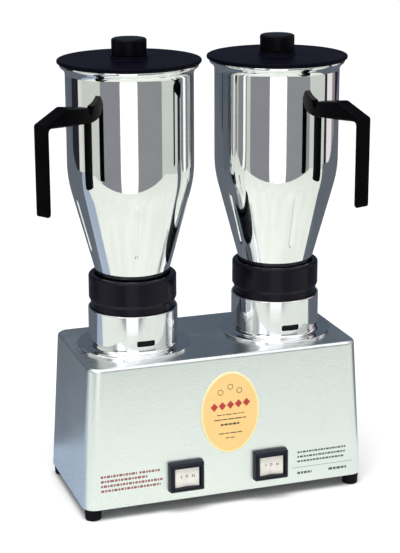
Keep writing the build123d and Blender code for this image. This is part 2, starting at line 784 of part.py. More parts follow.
def spindle():
    """Spindle with a domed nut that clamps the blades."""
    blades_top = blade_plane + 2 * blade_thickness
    rod = tube(0, spindle_radius, spindle_bottom, blades_top)
    nut = Pos(0, 0, blades_top) * extrude(RegularPolygon(7.5, 6), 4)
    dome = Pos(0, 0, blades_top + 4) * (Sphere(6.0) & Pos(0, 0, 10) * Box(20, 20, 20))
    return rod + nut + dome


def blade(level, bend):
    """One blade across the spindle, its arms bent up or down and cut to points."""
    knee = blade_reach * 0.42
    drop = (blade_reach - knee) * tan(radians(bend))
    line = [(-blade_reach, drop), (-knee, 0), (knee, 0), (blade_reach, drop)]
    upper = [(x, z + blade_thickness) for x, z in reversed(line)]
    strip = extrude(Plane.XZ * outline(*line, *upper), blade_width / 2, both=True)
    half = blade_width / 2
    plan = outline((-blade_reach, -half), (knee, -half), (blade_reach, 0), (blade_reach, half),
                   (-knee, half), (-blade_reach, 0))
    strip &= Pos(0, 0, -30) * extrude(plan, 60)
    strip -= tube(0, spindle_radius + 0.02, -5, 5)
    return Pos(0, 0, level) * strip


def blades():
    return [blade(blade_plane, -18), Rot(0, 0, 90) * blade(blade_plane + blade_thickness, 32)]


def drive_cup():
    """Toothed cup under the spindle, which drops over the motor's drive dog."""
    piece = tube(0, cup_radius, cup_bottom, cup_top)
    piece -= dog_profile(loose, cup_bottom - 1, cup_top - cup_web)
    return piece - tube(0, spindle_radius + 0.02, spindle_bottom, cup_top + 1)


def lid():
    """Flat lid with a skirt inside the vessel and a ring round its filler hole."""
    inner = vessel_radius - vessel_wall - loose
    side = outline(
        (filler_radius, lid_bottom),
        (inner - lid_skirt_wall, lid_bottom),
        (inner - lid_skirt_wall, lid_bottom - lid_skirt),
        (inner, lid_bottom - lid_skirt),
        (inner, lid_bottom),
        (lid_radius, lid_bottom),
        (lid_radius, lid_top),
        (boss_ring_radius, lid_top),
        (boss_ring_radius, boss_top),
        (filler_radius, boss_top),
    )
    side = rounded(side, lid_rim * 0.4, (lid_radius, lid_bottom), (lid_radius, lid_top))
    side = rounded(side, 1.5, (boss_ring_radius, lid_top))
    side = rounded(side, 1.2, (boss_ring_radius, boss_top))
    return turned(side)


def cap():
    """Filler cap: a head with a plug that fits the lid's filler hole."""
    low = boss_top + seat
    side = outline(
        (0, low - cap_plug),
        (filler_radius - loose, low - cap_plug),
        (filler_radius - loose, low),
        (cap_radius, low),
        (cap_radius, low + cap_height),
        (0, low + cap_height),
    )
    side = rounded(side, 1.0, (cap_radius, low))
    side = rounded(side, 2.2, (cap_radius, low + cap_height))
    return turned(side)


# ---- Assembly ----------------------------------------------------------------------------------
def turned_to(azimuth, shape):
    """Turns a shape drawn along +X to an azimuth measured from the front, towards +X."""
    return Rot(0, 0, azimuth - 90) * shape


def gathered(shapes):
    """One node from a shape, or from a list of identical pieces."""
    solids = []
    for shape in shapes if isinstance(shapes, list) else [shapes]:
        solids += shape.solids()
    return solids[0] if len(solids) == 1 else Compound(children=solids)


def both_sides(shapes):
    """Copies of a group of pieces at both jugs' axes."""
    places = [Pos(side * jug_spacing / 2, 0, casing_top) for side in (-1, 1)]
    return [place * shape for place in places for shape in shapes]


nodes = {
    "casing": casing(),
    "base_plate": base_plate(),
    "corner_brackets": corner_brackets(),
    "feet": feet(),
    "foot_screws": foot_screws(),
    "cord_gland": cord_gland(),
    "gland_nut": gland_nut(),
    "terminal_block": terminal_block(),
    "badge": wall_plane(-1, badge_offset, casing_bottom + badge_lift) * badge(),
    "socket_pads": both_sides([socket_pad()]),
    "socket_screws": both_sides(socket_screw_set()),
    "bearings": both_sides(bearings()),
    "brush_gear": both_sides(brush_gear()),
    "motor_bolts": both_sides(motor_bolts()),
}

for name, side, rise, handle_azimuth, flute_azimuth in jugs:
    axis = Pos(side * jug_spacing / 2, 0, casing_top)
    raised = axis * Pos(0, 0, rise)
    panel = wall_plane(-1, side * switch_spread / 2, casing_bottom + switch_lift)
    nodes.update({
        f"socket_{name}": axis * socket(),
        f"switch_frame_{name}": panel * switch_frame(),
        f"switch_body_{name}": panel * switch_body(),
        f"rocker_{name}": panel * rocker(),
        f"top_bracket_{name}": axis * top_bracket(),
        f"lower_bracket_{name}": axis * lower_bracket(),
        f"stator_{name}": axis * stator(),
        f"field_coils_{name}": [axis * coil for coil in field_coils()],
        f"shaft_{name}": axis * shaft(),
        f"armature_{name}": axis * armature(),
        f"fan_{name}": axis * fan(),
        f"drive_dog_{name}": axis * drive_dog(),
        f"collar_{name}": axis * collar(),
        f"blade_carrier_{name}": axis * blade_carrier(),
        f"blade_gasket_{name}": axis * blade_gasket(),
        f"spindle_{name}": axis * spindle(),
        f"blades_{name}": [axis * piece for piece in blades()],
        f"drive_cup_{name}": axis * drive_cup(),
        f"vessel_{name}": raised * vessel(handle_azimuth, flute_azimuth),
        f"handle_{name}": raised * turned_to(handle_azimuth, handle()),
        f"handle_screws_{name}": [raised * turned_to(handle_azimuth, screw) for screw in handle_screws()],
        f"lid_{name}": raised * lid(),
        f"cap_{name}": raised * cap(),
    })

os.makedirs("parts", exist_ok=True)
for name, shapes in nodes.items():
    export_step(gathered(shapes), f"parts/{name}.step")
print(len(nodes), "nodes; lean of the front wall", round(degrees(lean), 4), "degrees")
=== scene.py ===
"""Looks of the twin bar blender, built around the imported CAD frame. All sizes are in metres."""
import json
import math

import bmesh
import bpy
from mathutils import Matrix, Vector


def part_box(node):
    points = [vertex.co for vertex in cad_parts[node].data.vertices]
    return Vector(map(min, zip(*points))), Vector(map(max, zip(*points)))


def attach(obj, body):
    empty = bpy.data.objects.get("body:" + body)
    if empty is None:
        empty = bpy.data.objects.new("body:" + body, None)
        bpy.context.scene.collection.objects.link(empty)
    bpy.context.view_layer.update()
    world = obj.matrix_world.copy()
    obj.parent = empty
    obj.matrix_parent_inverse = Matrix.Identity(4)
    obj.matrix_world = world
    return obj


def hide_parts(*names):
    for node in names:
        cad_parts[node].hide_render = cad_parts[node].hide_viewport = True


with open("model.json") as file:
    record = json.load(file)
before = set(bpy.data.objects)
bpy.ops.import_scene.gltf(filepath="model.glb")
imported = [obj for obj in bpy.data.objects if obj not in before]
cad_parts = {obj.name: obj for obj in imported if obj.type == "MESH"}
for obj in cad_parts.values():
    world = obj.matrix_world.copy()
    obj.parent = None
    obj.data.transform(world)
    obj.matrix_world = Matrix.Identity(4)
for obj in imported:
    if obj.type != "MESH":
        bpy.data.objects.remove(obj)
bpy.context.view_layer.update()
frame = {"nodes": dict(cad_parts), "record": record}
nodes = frame["nodes"]
SIDES = ("left", "right")
MM = 0.001


# ---- Camera ------------------------------------------------------------------------------------
CAMERA_PLACE = Vector((-0.5184, -1.5027, 0.6851))
CAMERA_YAW = math.radians(18.86)
CAMERA_PITCH = math.radians(16.24)
CAMERA_ROLL = -0.003
CAMERA_LENS_MM = 105.05


def add_camera():
    data = bpy.data.cameras.new("camera")
    data.lens = CAMERA_LENS_MM
    data.sensor_width = 36
    data.sensor_fit = "AUTO"
    data.clip_start = 0.05
    camera = bpy.data.objects.new("camera", data)
    bpy.context.scene.collection.objects.link(camera)
    sine, cosine = math.sin(CAMERA_YAW), math.cos(CAMERA_YAW)
    level = math.cos(CAMERA_PITCH)
    forward = Vector((sine * level, cosine * level, -math.sin(CAMERA_PITCH)))
    right = Vector((cosine, -sine, 0))
    up = right.cross(forward)
    turned_right = right * math.cos(CAMERA_ROLL) + up * math.sin(CAMERA_ROLL)
    turned_up = turned_right.cross(forward)
    axes = Matrix((turned_right, turned_up, -forward)).transposed().to_4x4()
    camera.matrix_world = Matrix.Translation(CAMERA_PLACE) @ axes
    bpy.context.scene.camera = camera


# ---- Node helpers ------------------------------------------------------------------------------
def set_inputs(node, values):
    for key, value in values.items():
        node.inputs[key].default_value = value
    return node


class Build:
    """A small wrapper for making one material's node tree."""

    def __init__(self, name):
        self.material = bpy.data.materials.new(name)
        self.material.use_nodes = True
        self.tree = self.material.node_tree
        self.tree.nodes.clear()
        self.shader = self.add("ShaderNodeBsdfPrincipled")
        output = self.add("ShaderNodeOutputMaterial")
        self.link(self.shader.outputs["BSDF"], output.inputs["Surface"])
        self.place = self.add("ShaderNodeTexCoord").outputs["Object"]

    def add(self, kind, **values):
        return set_inputs(self.tree.nodes.new(kind), values)

    def link(self, source, target):
        self.tree.links.new(source, target)

    def scaled(self, x, y, z):
        """The object's own coordinates, stretched along each axis."""
        mapping = self.add("ShaderNodeMapping", Scale=(x, y, z))
        self.link(self.place, mapping.inputs["Vector"])
        return mapping.outputs["Vector"]

    def noise(self, vector, scale, detail):
        node = self.add("ShaderNodeTexNoise", Scale=scale, Detail=detail, Roughness=0.55)
        self.link(vector, node.inputs["Vector"])
        return node.outputs["Fac"]

    def spread(self, source, low, high, start=0.3, stop=0.7):
        """A value from low to high as the source goes from start to stop."""
        node = self.add("ShaderNodeMapRange")
        for key, value in zip(("From Min", "From Max", "To Min", "To Max"), (start, stop, low, high)):
            node.inputs[key].default_value = value
        self.link(source, node.inputs["Value"])
        return node.outputs["Result"]

    def blend(self, factor, first, second):
        """A colour between two colours."""
        node = self.tree.nodes.new("ShaderNodeMix")
        node.data_type = "RGBA"
        self.link(factor, node.inputs[0])
        node.inputs[6].default_value = (*first, 1)
        node.inputs[7].default_value = (*second, 1)
        return node.outputs[2]

    def mixed(self, factor, first, second):
        """A value between two sockets."""
        node = self.tree.nodes.new("ShaderNodeMix")
        for socket, source in zip(node.inputs[:1] + node.inputs[2:4], (factor, first, second)):
            self.link(source, socket)
        return node.outputs[0]

    def maths(self, operation, first, second=None):
        node = self.tree.nodes.new("ShaderNodeMath")
        node.operation = operation
        for socket, value in zip(node.inputs, (first, second)):
            if isinstance(value, bpy.types.NodeSocket):
                self.link(value, socket)
            elif value is not None:
                socket.default_value = value
        return node.outputs[0]

    def bump(self, height, distance, strength):
        node = self.add("ShaderNodeBump", Strength=strength, Distance=distance)
        self.link(height, node.inputs["Height"])
        self.link(node.outputs["Normal"], self.shader.inputs["Normal"])

    def colour(self, socket):
        self.link(socket, self.shader.inputs["Base Color"])

    def roughness(self, socket):
        self.link(socket, self.shader.inputs["Roughness"])


# ---- Materials ---------------------------------------------------------------------------------
def polished_steel(name, colour, low, high):
    """Mirror-polished steel with faint turning rings and a slightly uneven polish."""
    build = Build(name)
    set_inputs(build.shader, {"Metallic": 1.0})
    cloud = build.noise(build.place, 38, 5)
    darker = tuple(0.94 * channel for channel in colour)
    build.colour(build.blend(build.spread(cloud, 0, 1), darker, colour))
    rings = build.noise(build.scaled(3, 3, 900), 1.0, 3)
    smear = build.noise(build.scaled(14, 14, 30), 1.0, 3)
    build.roughness(build.spread(build.maths("MULTIPLY", rings, smear), low, high, 0.12, 0.40))
    waves = build.maths("ADD", build.maths("MULTIPLY", rings, 0.05), build.noise(build.place, 9, 1))
    build.bump(waves, 0.00025, 0.35)
    return build.material


def brushed_steel(name, colour):
    """Sheet steel brushed along its length, with a soft uneven sheen."""
    build = Build(name)
    set_inputs(build.shader, {"Metallic": 1.0, "Anisotropic": 0.4})
    normal = build.add("ShaderNodeSeparateXYZ")
    build.link(build.add("ShaderNodeNewGeometry").outputs["Normal"], normal.inputs[0])
    on_end = build.spread(build.maths("ABSOLUTE", normal.outputs[0]), 0, 1, 0.55, 0.75)
    along = build.noise(build.scaled(4, 2600, 2600), 1.0, 3)
    across = build.noise(build.scaled(2600, 4, 2600), 1.0, 3)
    grain = build.mixed(on_end, along, across)
    cloud = build.noise(build.place, 11, 4)
    darker = tuple(0.86 * channel for channel in colour)
    shade = build.maths("MULTIPLY", build.spread(grain, 0.6, 1), build.spread(cloud, 0.7, 1))
    build.colour(build.blend(shade, darker, colour))
    build.roughness(build.spread(build.maths("ADD", grain, cloud), 0.24, 0.36, 0.7, 1.3))
    build.bump(grain, 0.00002, 0.25)
    return build.material


def moulded(name, colour, low, high, sheen=0.5):
    """Moulded plastic or rubber with a fine spark-eroded grain and faint handling marks."""
    build = Build(name)
    set_inputs(build.shader, {"Specular IOR Level": sheen})
    cloud = build.noise(build.place, 45, 5)
    lighter = tuple(min(1.0, 1.25 * channel + 0.001) for channel in colour)
    build.colour(build.blend(build.spread(cloud, 0, 1), colour, lighter))
    texture = build.noise(build.place, 2600, 2)
    build.roughness(build.spread(build.maths("ADD", cloud, texture), low, high, 0.75, 1.25))
    build.bump(texture, 0.00002, 0.5)
    return build.material


def machined(name, colour, low, high):
    """Turned or rolled metal with fine tool marks."""
    build = Build(name)
    set_inputs(build.shader, {"Metallic": 1.0})
    marks = build.noise(build.scaled(60, 60, 2400), 1.0, 3)
    cloud = build.noise(build.place, 60, 4)
    darker = tuple(0.75 * channel for channel in colour)
    build.colour(build.blend(build.spread(cloud, 0, 1), darker, colour))
    build.roughness(build.spread(marks, low, high))
    build.bump(marks, 0.00003, 0.4)
    return build.material


def wound_copper(name):
    """Varnished windings: fine turns seen as ridges."""
    build = Build(name)
    set_inputs(build.shader, {"Metallic": 0.9})
    turns = build.add("ShaderNodeTexWave", Scale=420.0, Distortion=1.5, Detail=2.0)
    build.link(build.place, turns.inputs["Vector"])
    build.colour(build.blend(turns.outputs["Fac"], (0.30, 0.09, 0.03), (0.72, 0.32, 0.13)))
    build.roughness(build.spread(turns.outputs["Fac"], 0.3, 0.5))
    build.bump(turns.outputs["Fac"], 0.0002, 0.6)
    return build.material


def enamel(name, colour, evenness):
    """Printed enamel: a glossy coat with a faint orange-peel surface, its shade as even as stated."""
    build = Build(name)
    cloud = build.noise(build.place, 90, 4)
    deeper = tuple(evenness * channel for channel in colour)
    build.colour(build.blend(build.spread(cloud, 0, 1), deeper, colour))
    build.roughness(build.spread(cloud, 0.28, 0.42))
    build.bump(build.noise(build.place, 900, 2), 0.00002, 0.3)
    return build.material


MATERIALS = {
    "brushed_casing": brushed_steel("casing_brushed", (0.86, 0.90, 0.90)),
    "polished_vessel": polished_steel("vessel_polished", (0.90, 0.905, 0.90), 0.015, 0.06),
    "polished_socket": polished_steel("socket_polished", (0.86, 0.87, 0.88), 0.04, 0.12),
    "badge_enamel": enamel("badge_cream", (0.86, 0.80, 0.46), 0.96),
    "galvanised_plate": machined("plate_zinc", (0.55, 0.57, 0.60), 0.3, 0.55),
    "foot_rubber": moulded("foot_black", (0.006, 0.006, 0.008), 0.55, 0.8, 0.06),
    "pad_rubber": moulded("pad_black", (0.03, 0.03, 0.03), 0.6, 0.8),
    "gasket_rubber": moulded("gasket_pale", (0.72, 0.71, 0.66), 0.45, 0.6),
    "zinc_screws": machined("screw_zinc", (0.70, 0.71, 0.74), 0.2, 0.4),
    "black_nylon": moulded("nylon_black", (0.02, 0.02, 0.022), 0.4, 0.6),
    "white_nylon": moulded("nylon_white", (0.80, 0.79, 0.74), 0.4, 0.6),
    "fan_nylon": moulded("nylon_grey", (0.07, 0.07, 0.08), 0.4, 0.6),
    "cup_nylon": moulded("nylon_cup", (0.04, 0.04, 0.042), 0.35, 0.55),
    "bearing_steel": machined("steel_ground", (0.66, 0.67, 0.70), 0.12, 0.3),
    "dog_steel": machined("steel_dog", (0.56, 0.56, 0.60), 0.25, 0.45),
    "cutter_steel": machined("steel_cutter", (0.80, 0.80, 0.82), 0.08, 0.25),
    "carrier_metal": machined("alloy_turned", (0.74, 0.74, 0.76), 0.2, 0.4),
    "cast_bracket": machined("alloy_cast", (0.56, 0.57, 0.60), 0.45, 0.65),
    "laminations": machined("steel_laminated", (0.20, 0.20, 0.22), 0.35, 0.6),
    "copper_winding": wound_copper("copper_wound"),
    "brush_resin": moulded("resin_brown", (0.16, 0.07, 0.04), 0.45, 0.65),
    "switch_bezel": moulded("bezel_black", (0.008, 0.009, 0.016), 0.28, 0.42, 0.14),
    "switch_shell": moulded("shell_black", (0.02, 0.02, 0.022), 0.4, 0.6),
    "rocker_cream": moulded("rocker_cream", (0.80, 0.78, 0.71), 0.25, 0.38),
    "collar_plastic": moulded("collar_black", (0.004, 0.003, 0.008), 0.20, 0.32, 0.16),
    "handle_plastic": moulded("handle_black", (0.0004, 0.0003, 0.001), 0.26, 0.40, 0.03),
    "lid_rubber": moulded("lid_black", (0.0012, 0.0009, 0.004), 0.34, 0.52, 0.04),
    "cap_rubber": moulded("cap_black", (0.001, 0.0008, 0.002), 0.24, 0.38, 0.08),
}


def dress_nodes():
    slots = {part["node"]: part["material_slot"] for part in frame["record"]["subparts"]}
    for name, piece in nodes.items():
        piece.data.materials.clear()
        piece.data.materials.append(MATERIALS[slots[name]])


# ---- Shapes ------------------------------------------------------------------------------------
def new_piece(mesh, body, material):
    """A finished piece: it has its mesh's name, a material, and a body to ride on."""
    piece = bpy.data.objects.new(mesh.name, mesh)
    bpy.context.scene.collection.objects.link(piece)
    mesh.materials.append(material)
    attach(piece, body)
    return piece


def mesh_of(name, points, faces):
    mesh = bpy.data.meshes.new(name)
    mesh.from_pydata(points, [], faces)
    form = bmesh.new()
    form.from_mesh(mesh)
    bmesh.ops.recalc_face_normals(form, faces=form.faces)
    form.to_mesh(mesh)
    form.free()
    return mesh


# ---- Vessels, in millimetres from the mouth of the neck ------------------------------------------
VESSEL_WALL = 1.0
NECK_RADIUS, BARREL_RADIUS, LIP_RADIUS = 36.0, 62.9, 68.1
NECK_LENGTH, CONE_HEIGHT, BARREL_HEIGHT, COVE_HEIGHT, LIP_HEIGHT = 10.5, 99.7, 106.6, 4.0, 3.2
FLUTE_START, FLUTE_LENGTH, FLUTE_DEPTH, FLUTE_HALF_WIDTH, FLUTE_COUNT = 29.4, 51.0, 1.4, 2.6, 5
FLUTE_TURN = {"left": -11.0, "right": -1.0}
# Roundings, from the neck up to the lip.
BLEND_RADII = (6.0, 115.0, 7.0, 3.0)
# Mesh fineness: the longest run up the wall in millimetres, then steps round the axis in degrees.
LONGEST_RUN, FINE_STEP, FINE_COUNT, COARSE_STEP, FLUTE_MARGIN = 2.0, 0.4, 14, 2, 6


def rounded_line(corners, radii, steps=16):
    """A line through the corners with each inner corner rounded by its own radius."""
    line = [Vector(corners[0])]
    for before, corner, after, radius in zip(corners, corners[1:], corners[2:], radii):
        corner = Vector(corner)
        back, ahead = (Vector(before) - corner).normalized(), (Vector(after) - corner).normalized()
        half = math.acos(max(-1, min(1, back.dot(ahead)))) / 2
        reach = radius / math.tan(half)
        start, end = corner + back * reach, corner + ahead * reach
        centre = corner + (back + ahead).normalized() * (radius / math.sin(half))
        first, last = start - centre, end - centre
        for step in range(steps + 1):
            line.append(centre + first.lerp(last, step / steps).normalized() * radius)
    line.append(Vector(corners[-1]))
    return line


def divided(line, longest):
    """The same line with no run longer than the given length."""
    points = [line[0]]
    for start, end in zip(line, line[1:]):
        count = max(1, math.ceil((end - start).length / longest))
        points += [start.lerp(end, step / count) for step in range(1, count + 1)]
    return points


def vessel_section(inset):
    """Half section of the wall's outer face, moved inwards by inset: (radius, height) points."""
    shoulder = NECK_LENGTH + CONE_HEIGHT
    cove = shoulder + BARREL_HEIGHT
    lip = cove + COVE_HEIGHT
    corners = [
        (NECK_RADIUS - inset, 0),
        (NECK_RADIUS - inset, NECK_LENGTH),
        (BARREL_RADIUS - inset, shoulder),
        (BARREL_RADIUS - inset, cove),
        (LIP_RADIUS - inset, lip),
        (LIP_RADIUS - inset, lip + LIP_HEIGHT),
    ]
    return divided(rounded_line(corners, BLEND_RADII), LONGEST_RUN)


def flute_depth(height, turn):
    """How far a point of the cone is pressed in: each flute is a soft round-ended groove."""
    low, high = NECK_LENGTH + FLUTE_START, NECK_LENGTH + FLUTE_START + FLUTE_LENGTH
    beyond = max(low - height, height - high, 0)
    radius = NECK_RADIUS + (height - NECK_LENGTH) * (BARREL_RADIUS - NECK_RADIUS) / CONE_HEIGHT
    distance = math.hypot(beyond, math.radians(turn) * radius) / FLUTE_HALF_WIDTH
    return FLUTE_DEPTH * (1 - distance ** 2) ** 1.5 if distance < 1 else 0


def off_flute(turn, flutes):
    """The angle from a direction to the nearest flute, in degrees."""
    return min(abs((turn - flute + 180) % 360 - 180) for flute in flutes)


def vessel_mesh(side):
    """The wall's outer and inner faces, turned round the axis with finer steps across each flute."""
    low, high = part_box(f"vessel_{side}")
    outer, inner = vessel_section(0), vessel_section(VESSEL_WALL)
    stretch = (high.z - low.z) / MM / outer[-1].y
    section = outer + inner[::-1]
    flutes = [FLUTE_TURN[side] + 360 * index / FLUTE_COUNT for index in range(FLUTE_COUNT)]
    fine = [flute + step * FINE_STEP for flute in flutes for step in range(-FINE_COUNT, FINE_COUNT + 1)]
    coarse = [turn for turn in range(0, 360, COARSE_STEP) if off_flute(turn, flutes) > FLUTE_MARGIN]
    turns = sorted(turn % 360 for turn in fine + coarse)
    centre_x = (low.x + high.x) / 2
    points, faces, count = [], [], len(section)
    for turn in turns:
        sine, cosine = math.sin(math.radians(turn)), math.cos(math.radians(turn))
        for point in section:
            radius = (point.x - flute_depth(point.y, off_flute(turn, flutes))) * MM
            height = low.z + point.y * stretch * MM
            points.append((centre_x + radius * sine, -radius * cosine, height))
    for index in range(len(turns)):
        here, after = index * count, (index + 1) % len(turns) * count
        for step in range(count):
            above = (step + 1) % count
            faces.append((here + step, after + step, after + above, here + above))
    return mesh_of(f"vessel_skin_{side}", points, faces)


def add_vessels():
    for side in SIDES:
        mesh = vessel_mesh(side)
        mesh.shade_smooth()
        skin = new_piece(mesh, f"jug_{side}", MATERIALS["polished_vessel"])
        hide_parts(f"vessel_{side}")


# ---- Badge and printed marks, in millimetres across and up -----------------------------------------
WALL_BOTTOM, WALL_HALF_DEPTH, WALL_LEAN = 12.4, 72.3, math.radians(1.2122)


def on_front(x, z, lift):
    """A place on the front wall in metres, from millimetres across, up and out."""
    y = -(WALL_HALF_DEPTH - (z - WALL_BOTTOM) * math.tan(WALL_LEAN)) - lift * math.cos(WALL_LEAN)
    return (x * MM, y * MM, (z + lift * math.sin(WALL_LEAN)) * MM)


def oval(x, z, half_width, half_height, count):
    return [(x + half_width * math.cos(2 * math.pi * step / count),
             z + half_height * math.sin(2 * math.pi * step / count)) for step in range(count)]


def bar(x0, x1, z0, z1, cut):
    """A bar with clipped corners."""
    return [(x0 + cut, z0), (x1 - cut, z0), (x1, z0 + cut), (x1, z1 - cut),
            (x1 - cut, z1), (x0 + cut, z1), (x0, z1 - cut), (x0, z0 + cut)]


def lozenge(x, z, half_width, half_height):
    return [(x - half_width, z), (x, z - half_height), (x + half_width, z), (x, z + half_height)]


def printed(name, outlines, low, high, place=on_front):
    """Thin raised areas, each one a closed outline lifted from low to high."""
    points, faces = [], []
    for outline in outlines:
        start, count = len(points), len(outline)
        points += [place(x, z, low) for x, z in outline] + [place(x, z, high) for x, z in outline]
        faces.append(tuple(range(start + count, start + 2 * count)))
        faces.append(tuple(range(start + count - 1, start - 1, -1)))
        for step in range(count):
            after = (step + 1) % count
            faces.append((start + step, start + after, start + count + after, start + count + step))
    return mesh_of(name, points, faces)


def ring_mesh(name, rings, lift, place=on_front):
    """Thin flat rings, each given as its centre, outer radius and inner radius."""
    points, faces, count = [], [], RING_POINTS
    for x, z, outer, inner in rings:
        start = len(points)
        for radius in (outer, inner):
            points += [place(*spot, lift) for spot in oval(x, z, radius, radius, count)]
        for step in range(count):
            here, after = start + step, start + (step + 1) % count
            faces.append((here, after, count + after, count + here))
    return mesh_of(name, points, faces)


BADGE_CENTRE, BADGE_HALF_WIDTH, BADGE_HALF_HEIGHT = (2.5, 98.7), 31.3, 42.9
# The plate's rounded edge: how far in from its outline, and how far out from the wall.
BADGE_EDGE = ((0.0, 0.0), (0.0, 0.7), (0.25, 0.95), (0.7, 1.08), (1.7, 1.08), (2.1, 0.98), (6.0, 0.98))
FIELD_INSET, OVAL_POINTS, RING_POINTS = 2.2, 96, 24
GEM_HEIGHT, GEM_PITCH, GEM_RISE, GEM_HALF_WIDTH, GEM_HALF_HEIGHT = 107.0, 8.6, 0.5, 3.9, 4.4
# Rings over the gems: across from the badge's middle, height, outer and inner radius.
BUBBLES = ((-10.5, 121.0, 3.0, 2.4), (0, 126.0, 3.0, 2.4), (9.5, 121.5, 3.0, 2.4))
# How far each layer starts and ends from the wall.
FIELD_LIFT, GEM_LIFT, ROW_LIFT, BUBBLE_LIFT = (0.9, 1.02), (1.0, 1.08), (1.0, 1.07), 1.06
PRINT_LIFT, ROCKER_LIFT = (-0.05, 0.04), (-0.05, 0.05)


def badge_plate_mesh():
    """An oval plate with a softly rounded edge round a slightly lower field."""
    x, z = BADGE_CENTRE
    points, faces, count = [], [], OVAL_POINTS
    for inset, lift in BADGE_EDGE:
        edge = oval(x, z, BADGE_HALF_WIDTH - inset, BADGE_HALF_HEIGHT - inset, count)
        points += [on_front(*spot, lift) for spot in edge]
    for start in range(0, (len(BADGE_EDGE) - 1) * count, count):
        for step in range(count):
            here, after = start + step, start + (step + 1) % count
            faces.append((here, after, count + after, count + here))
    last = (len(BADGE_EDGE) - 1) * count
    faces.append(tuple(range(last, last + count)))
    faces.append(tuple(range(count - 1, -1, -1)))
    return mesh_of("badge_plate", points, faces)


BAR_GAP, BAR_CUT = 0.9, 0.25


def rows_of_bars(rows):
    """The bars of each row, in its lengths one after another."""
    shapes = []
    for left, right, height, tall, lengths in rows:
        x, index = left, 0
        while x < right - 1:
            end = min(right, x + lengths[index % len(lengths)])
            shapes.append(bar(x, end, height - tall / 2, height + tall / 2, BAR_CUT))
            x, index = end + BAR_GAP, index + 1
    return shapes


# Rows of bars, each as (left, right, middle height, bar height, lengths in turn).
RED_ROWS = (
    (-134, -96, 47.0, 2.5, (2.6, 1.8, 3.4, 1.4)), (-94, -72, 47.0, 2.5, (2.2, 3.0, 1.6)),
    (-134, -84, 42.0, 2.5, (3.0, 1.6, 2.4, 3.6)),
    (-134, -70, 37.0, 2.5, (2.0, 3.2, 1.6, 2.6)),
    (-134, -72, 32.0, 2.5, (3.4, 2.0, 2.8, 1.6)),
)
DARK_ROWS = (
    (76, 130, 45.4, 2.0, (2.6, 1.6, 3.2, 2.0)),
    (76, 131, 40.4, 2.0, (1.8, 3.4, 2.4)),
    (76, 129, 35.4, 2.0, (3.0, 2.0, 2.8)),
    (76, 92, 22.6, 2.6, (3.2, 2.4)), (111, 131, 22.6, 2.6, (4.2, 3.0)),
)
BADGE_ROWS = (
    (-12, 17, 97.0, 0.9, (5.0, 3.0, 6.0)), (-15, 19, 92.0, 1.1, (8.0, 5.0, 6.5)),
    (-8, 12, 86.5, 2.0, (3.0, 4.0)), (-10, 15, 77.0, 1.0, (6.0, 4.0, 7.0)), (-3, 8, 72.0, 0.9, (4.5,)),
)
# A thin rule between the long dark rows and the short ones: left, right, bottom, top and cut.
RULE = (70, 138, 28.6, 29.0, 0.1)
# Rocker marks: the sides of three upright bars, from the rocker's middle; their bottom and top; and a
# ring's height, outer radius and inner radius.
ROCKER_BARS = ((-6.4, -5.5), (5.2, 6.1), (7.0, 7.9))
ROCKER_BAR_SPAN, ROCKER_BAR_CUT = (36.4, 39.4), 0.15
ROCKER_RING = (37.9, 1.5, 0.85)


def add_badge():
    enamelled = "badge_enamel"
    plate = new_piece(badge_plate_mesh(), "base", MATERIALS[enamelled])
    plate.data.shade_smooth()
    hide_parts("badge")
    yellow = enamel("badge_yellow", (0.93, 0.62, 0.24), 0.95)
    red = enamel("print_red", (0.50, 0.035, 0.03), 0.85)
    brown = enamel("print_brown", (0.10, 0.06, 0.035), 0.8)
    x, z = BADGE_CENTRE
    half_width, half_height = BADGE_HALF_WIDTH - FIELD_INSET, BADGE_HALF_HEIGHT - FIELD_INSET
    field = [oval(x, z, half_width, half_height, OVAL_POINTS)]
    gems = [lozenge(x + step * GEM_PITCH, GEM_HEIGHT + step * GEM_RISE, GEM_HALF_WIDTH, GEM_HALF_HEIGHT)
            for step in range(-2, 3)]
    bubbles = [(x + across, *rest) for across, *rest in BUBBLES]
    new_piece(printed("badge_field", field, *FIELD_LIFT), "base", yellow)
    new_piece(printed("badge_gems", gems, *GEM_LIFT), "base", red)
    new_piece(ring_mesh("badge_bubbles", bubbles, BUBBLE_LIFT), "base", brown)
    new_piece(printed("badge_rows", rows_of_bars(BADGE_ROWS), *ROW_LIFT), "base", brown)


def add_prints():
    faded = enamel("print_faded_red", (0.30, 0.09, 0.09), 0.85)
    green = enamel("print_green_black", (0.055, 0.085, 0.075), 0.8)
    left, right = rows_of_bars(RED_ROWS), rows_of_bars(DARK_ROWS) + [bar(*RULE)]
    new_piece(printed("print_left", left, *PRINT_LIFT), "base", faded)
    new_piece(printed("print_right", right, *PRINT_LIFT), "base", green)


def rocker_face(side):
    """Places marks on a rocker's face, found by dropping each point onto its mesh from the front."""
    rocker = nodes[f"rocker_{side}"]

    def place(x, z, lift):
        start = Vector((x * MM, -0.2, z * MM))
        _, spot, normal, _ = rocker.ray_cast(start, Vector((0, 1, 0)))
        return tuple(spot + normal * lift * MM)

    return place


def add_rocker_marks():
    grey = enamel("print_grey", (0.16, 0.15, 0.15), 0.8)
    bottom, top = ROCKER_BAR_SPAN
    height, outer, inner = ROCKER_RING
    for side in SIDES:
        low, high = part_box(f"rocker_{side}")
        middle = (low.x + high.x) / 2 / MM
        face, body = rocker_face(side), f"rocker_{side}"
        shapes = [bar(middle + left, middle + right, bottom, top, ROCKER_BAR_CUT)
                  for left, right in ROCKER_BARS]
        marks = printed(f"rocker_marks_{side}", shapes, *ROCKER_LIFT, face)
        new_piece(marks, body, grey)
        rings = [(middle, height, outer, inner)]
        new_piece(ring_mesh(f"rocker_ring_{side}", rings, ROCKER_LIFT[1], face), body, grey)


